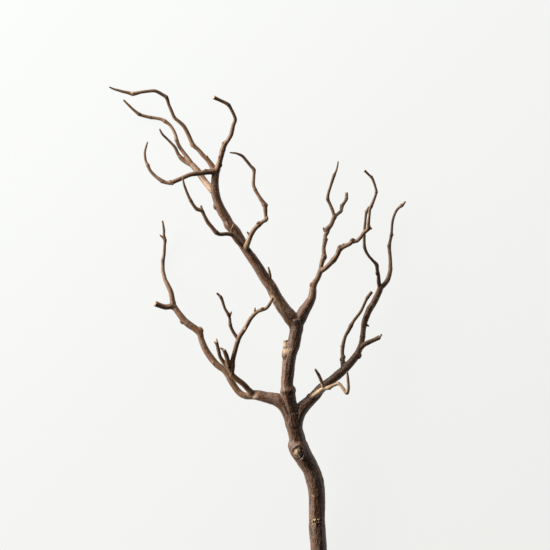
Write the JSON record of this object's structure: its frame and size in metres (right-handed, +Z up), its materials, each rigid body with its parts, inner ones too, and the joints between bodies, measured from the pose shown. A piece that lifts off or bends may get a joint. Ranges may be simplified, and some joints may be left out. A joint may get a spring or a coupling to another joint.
{
  "type": "fallen tree branch",
  "caption": "Leafless fallen tree branch lying on its side: a sawn stem that forks into a leader, boughs and long crooked twigs.",
  "frame": {"origin": "middle of the ground that the branch covers, at ground level", "axes": "+Z up from the ground, +Y along the branch from the sawn end to the twig tips, +X to the right"},
  "size_m": [0.416, 0.6994, 0.0942],
  "materials": {
    "old_bark": "rough dark brown bark",
    "young_bark": "smooth brown twig bark",
    "tip_bark": "thin tan bark of the youngest twigs"
  },
  "bodies": {
    "root": {"stem": "old_bark", "leader": "old_bark", "left_bough": "old_bark", "right_bough": "old_bark", "upper_left_bough": "old_bark", "upper_right_bough": "old_bark", "left_inner_bough": "young_bark", "left_arc_twig": "tip_bark", "left_fork_twig": "tip_bark", "left_tip_twig": "tip_bark", "right_front_twig": "tip_bark", "right_inner_twig": "young_bark", "right_long_twig": "young_bark", "right_wavy_twig": "young_bark", "side_twig_left": "young_bark", "side_twig_right": "young_bark", "back_bough": "young_bark", "back_twig_upper": "tip_bark", "back_twig_lower": "tip_bark", "front_arm": "young_bark", "top_left_twig": "tip_bark", "top_hook_twig": "young_bark", "forked_twig": "young_bark", "forked_twig_left": "tip_bark", "forked_twig_right": "tip_bark", "reaching_twig": "young_bark"}
  },
  "joints": []
}
